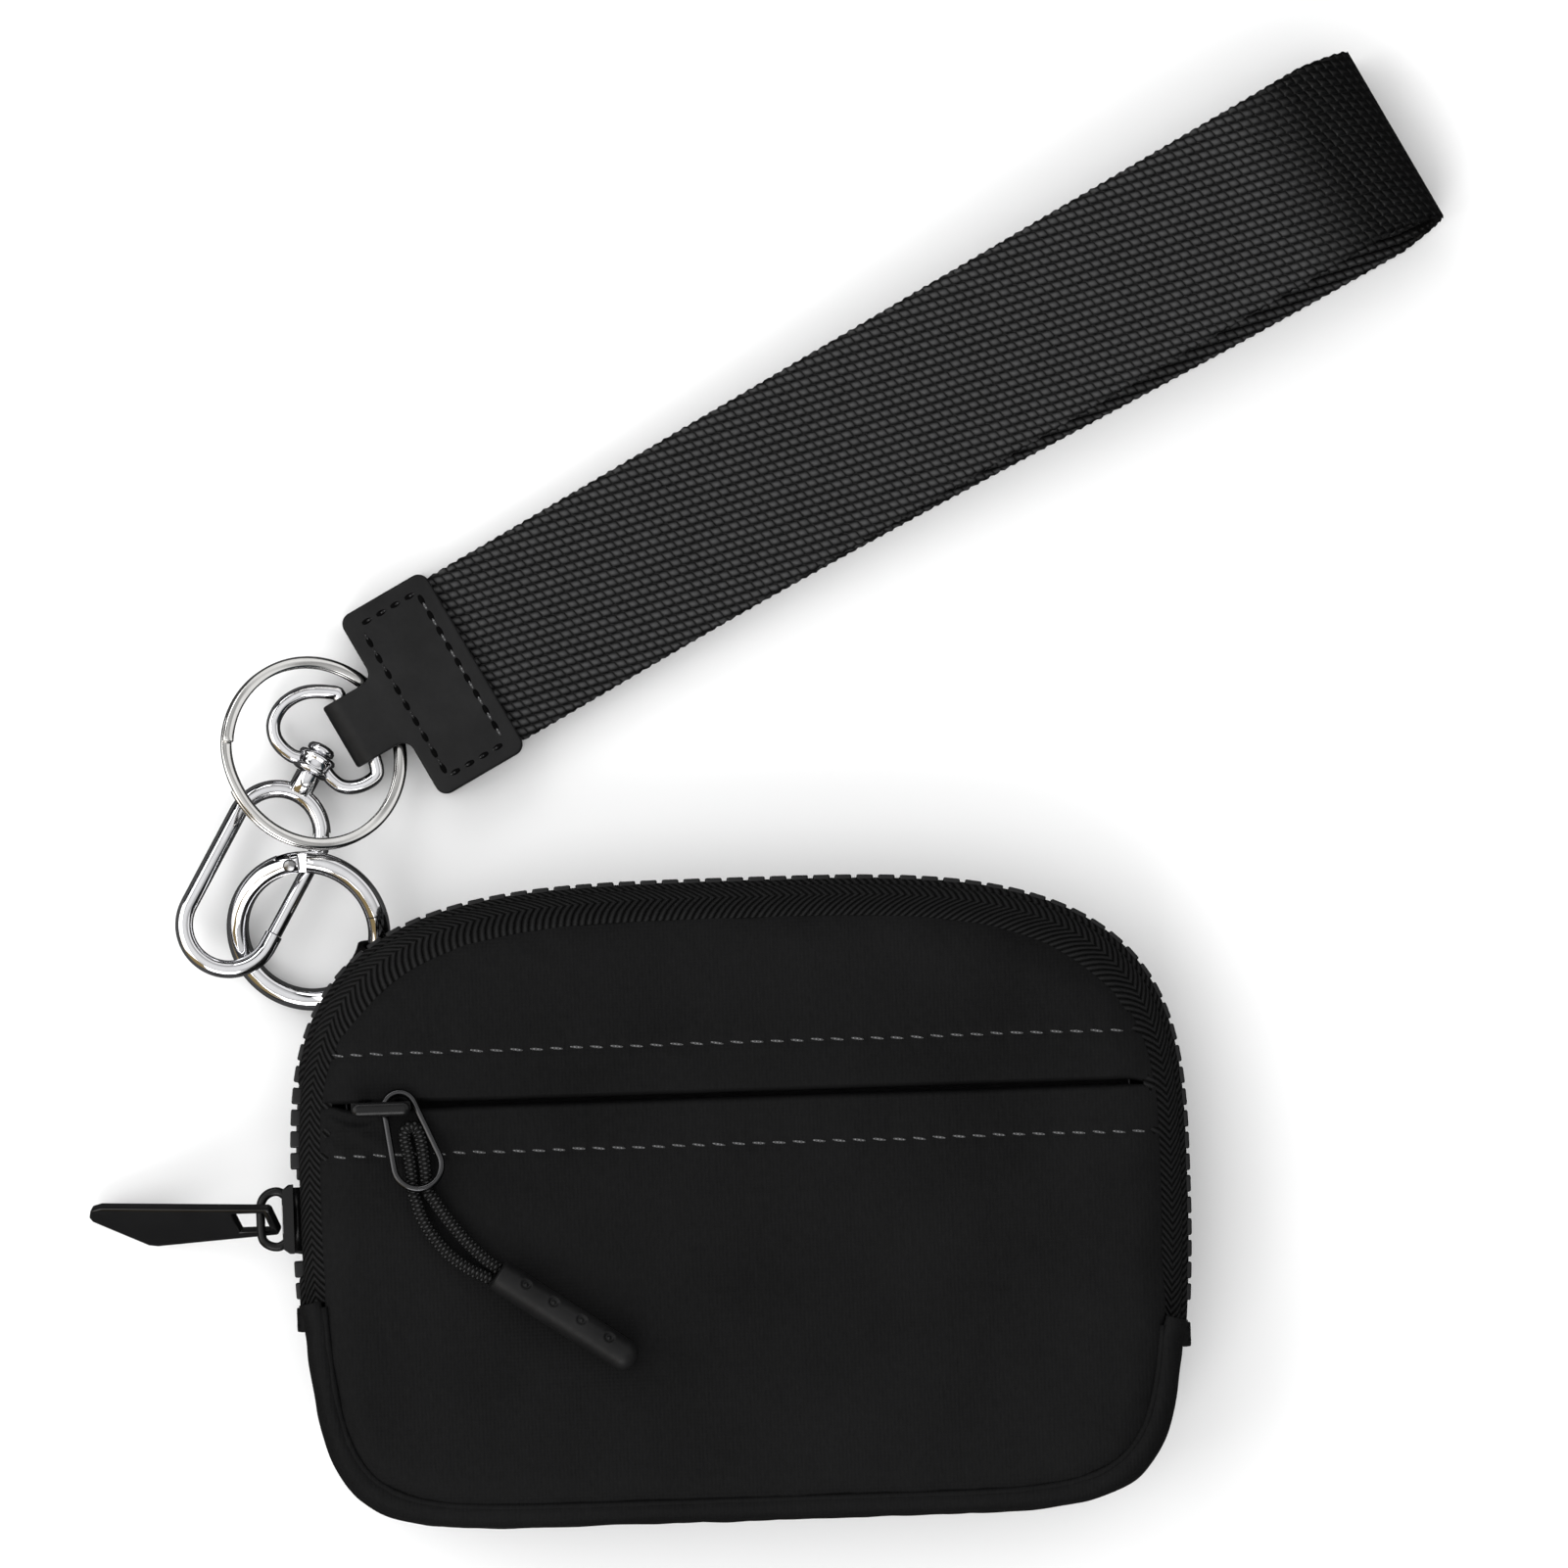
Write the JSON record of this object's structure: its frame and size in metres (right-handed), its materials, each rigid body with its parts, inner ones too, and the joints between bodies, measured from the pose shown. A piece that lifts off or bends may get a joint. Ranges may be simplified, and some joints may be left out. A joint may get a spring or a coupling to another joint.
{
  "type": "zippered pouch with wrist strap",
  "caption": "Small zippered cloth pouch with a front zip pocket, a gate ring, a swivel hook, a key ring and a webbing wrist loop.",
  "frame": {"origin": "centre of the pouch's back face, on the surface it lies on", "axes": "+Z out of the front face, +X towards the right end of the zip, +Y towards the top edge"},
  "size_m": [0.1841, 0.1956, 0.0298],
  "materials": {
    "shell_cloth": "matt crinkled nylon",
    "lining": "plain lining cloth",
    "zip_tape": "herringbone tape",
    "zip_plastic": "satin moulded plastic",
    "black_metal": "black enamel",
    "gloss_black": "gloss black enamel",
    "cord": "braided polyester",
    "soft_plastic": "matt soft plastic",
    "chrome": "polished plating",
    "leather": "smooth fine grain",
    "webbing": "ribbed twill webbing"
  },
  "bodies": {
    "pouch": {"rear_panel": "shell_cloth", "rear_lining": "lining", "rear_zip_tape": "zip_tape", "rear_teeth": "zip_plastic", "gusset": "shell_cloth", "front_base_panel": "shell_cloth", "zip_end_tabs": "shell_cloth", "loop_tab": "zip_tape"},
    "front": {"front_yoke": "shell_cloth", "pocket_panel": "shell_cloth", "front_lining": "lining", "front_zip_tape": "zip_tape", "front_teeth": "zip_plastic", "pocket_zip_tape": "zip_tape", "pocket_coil": "zip_plastic", "pocket_bag": "lining"},
    "main_slider": {"main_slider": "black_metal"},
    "main_pull": {"main_pull": "gloss_black"},
    "pocket_slider": {"pocket_slider": "black_metal"},
    "pull_loop": {"pull_wire_loop": "black_metal", "cord_bight": "cord"},
    "cord": {"pull_cord": "cord", "cord_end": "soft_plastic"},
    "gate_ring": {"gate_ring": "chrome", "ring_gate_pin": "chrome"},
    "ring_gate": {"ring_gate": "chrome"},
    "hook": {"hook_body": "chrome", "hook_rivet": "chrome", "hook_gate_pin": "chrome"},
    "hook_gate": {"hook_gate": "chrome"},
    "swivel": {"swivel_eye": "chrome"},
    "strap": {"leather_tab": "leather", "webbing_loop": "webbing"},
    "key_ring": {"split_ring": "chrome"}
  },
  "joints": [
    {"name": "front_open", "type": "hinge", "parent": "pouch", "child": "front", "pos_m": [0, -0.025, 0.0252], "axis": [1, 0, 0], "range_deg": [0, 50]},
    {"name": "main_slider_slide", "type": "slide", "parent": "pouch", "child": "main_slider", "axis": [0, 1, 0], "range_m": [0, 0.008]},
    {"name": "main_pull_swing", "type": "hinge", "parent": "main_slider", "child": "main_pull", "pos_m": [-0.0646, -0.0003, 0.0125], "axis": [0, 1, 0], "range_deg": [-45, 105]},
    {"name": "pocket_slider_slide", "type": "slide", "parent": "front", "child": "pocket_slider", "axis": [1, 0, 0], "range_m": [0, 0.095]},
    {"name": "pull_loop_swing", "type": "hinge", "parent": "pocket_slider", "child": "pull_loop", "pos_m": [-0.04745, 0.0142, 0.026], "axis": [-0.1521, 0.9884, 0], "range_deg": [-80, 0]},
    {"name": "cord_swing", "type": "hinge", "parent": "pull_loop", "child": "cord", "pos_m": [-0.04236, 0.00342, 0.026], "axis": [-0.9624, -0.2715, 0], "range_deg": [0, 60]},
    {"name": "ring_swing", "type": "hinge", "parent": "pouch", "child": "gate_ring", "pos_m": [-0.04862, 0.03342, 0.00494], "axis": [0.4669, 0.8157, 0.3415], "range_deg": [0, 45]},
    {"name": "ring_gate_swing", "type": "hinge", "parent": "gate_ring", "child": "ring_gate", "pos_m": [-0.05892, 0.0475, 0.00716], "axis": [-0.1878, -0.2859, 0.9397], "range_deg": [0, 10], "stiffness_Nm_per_rad": 0.004, "springref_deg": -20.05},
    {"name": "hook_slide_round", "type": "hinge", "parent": "gate_ring", "child": "hook", "pos_m": [-0.057, 0.0383, 0.00475], "axis": [-0.1878, -0.2859, 0.9397], "range_deg": [-5, 12]},
    {"name": "hook_gate_swing", "type": "hinge", "parent": "hook", "child": "hook_gate", "pos_m": [-0.05498, 0.04959, 0.00359], "axis": [0.0445, 0.0777, 0.996], "range_deg": [0, 10], "stiffness_Nm_per_rad": 0.004, "springref_deg": -20.05},
    {"name": "swivel_turn", "type": "hinge", "parent": "hook", "child": "swivel", "pos_m": [-0.05553, 0.0607, 0.00275], "axis": [0.495, 0.8643, -0.0896], "range_deg": [-240, 0]},
    {"name": "strap_swing", "type": "hinge", "parent": "swivel", "child": "strap", "pos_m": [-0.04954, 0.06534, 0.00275], "axis": [0.4756, -0.8796, 0], "range_deg": [-75, 3]},
    {"name": "key_ring_swing", "type": "hinge", "parent": "strap", "child": "key_ring", "pos_m": [-0.0455, 0.06752, 0.0025], "axis": [-0.4756, 0.8796, 0], "range_deg": [-4, 8]}
  ]
}
